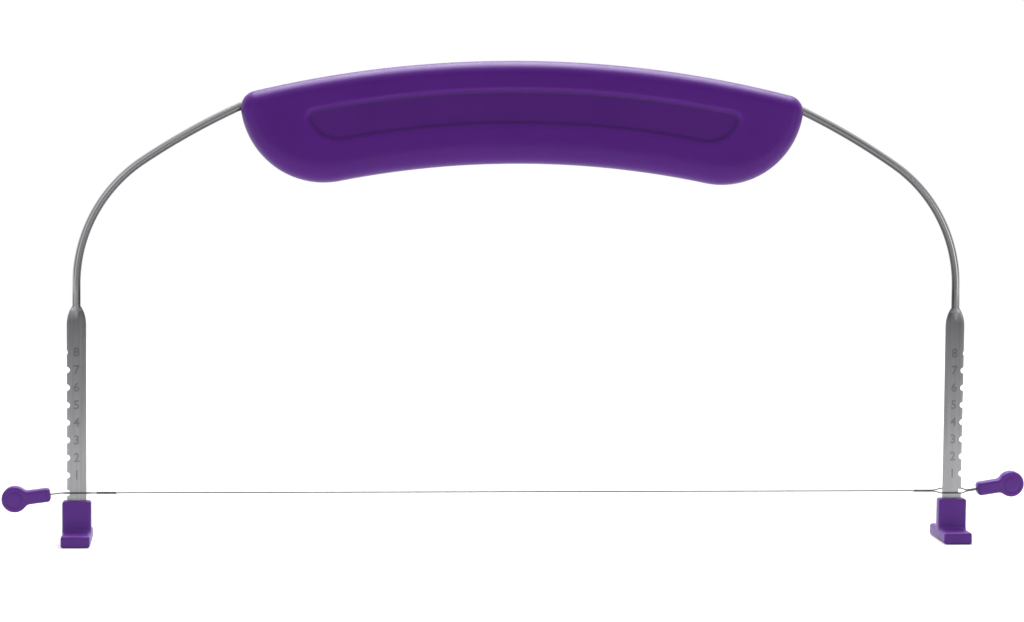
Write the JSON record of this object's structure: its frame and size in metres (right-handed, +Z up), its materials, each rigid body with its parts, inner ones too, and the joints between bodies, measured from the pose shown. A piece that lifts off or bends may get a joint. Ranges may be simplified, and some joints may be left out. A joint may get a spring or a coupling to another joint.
{
  "type": "adjustable cake leveler",
  "caption": "Cake leveler: a sprung steel bow with notched flat legs, a moulded arched handle, slip-on feet and a cutting wire on looped ends that hook at a chosen height.",
  "frame": {"origin": "on the floor under the feet, midway across the width and the depth", "axes": "+X along the cutting wire to the right as pictured, +Y from the pictured front to the back, +Z up"},
  "size_m": [0.3528, 0.024, 0.165],
  "materials": {
    "bow_steel": "plain drawn steel wire, its ends pressed flat",
    "handle_plastic": "satin moulded plastic, deep purple",
    "foot_plastic": "semi-gloss moulded plastic, mid purple",
    "wire_steel": "fine drawn stainless wire"
  },
  "bodies": {
    "frame": {"bow_frame": "bow_steel", "handle_front_shell": "handle_plastic", "handle_rear_shell": "handle_plastic", "left_foot": "foot_plastic", "right_foot": "foot_plastic"},
    "wire": {"cutting_wire": "wire_steel", "left_wire_loop": "wire_steel", "right_wire_loop": "wire_steel", "left_pull_knob": "foot_plastic", "right_pull_knob": "foot_plastic"}
  },
  "joints": [
    {"name": "wire_height", "type": "slide", "parent": "frame", "child": "wire", "axis": [0, 0, 1], "range_m": [0, 0.042]}
  ]
}
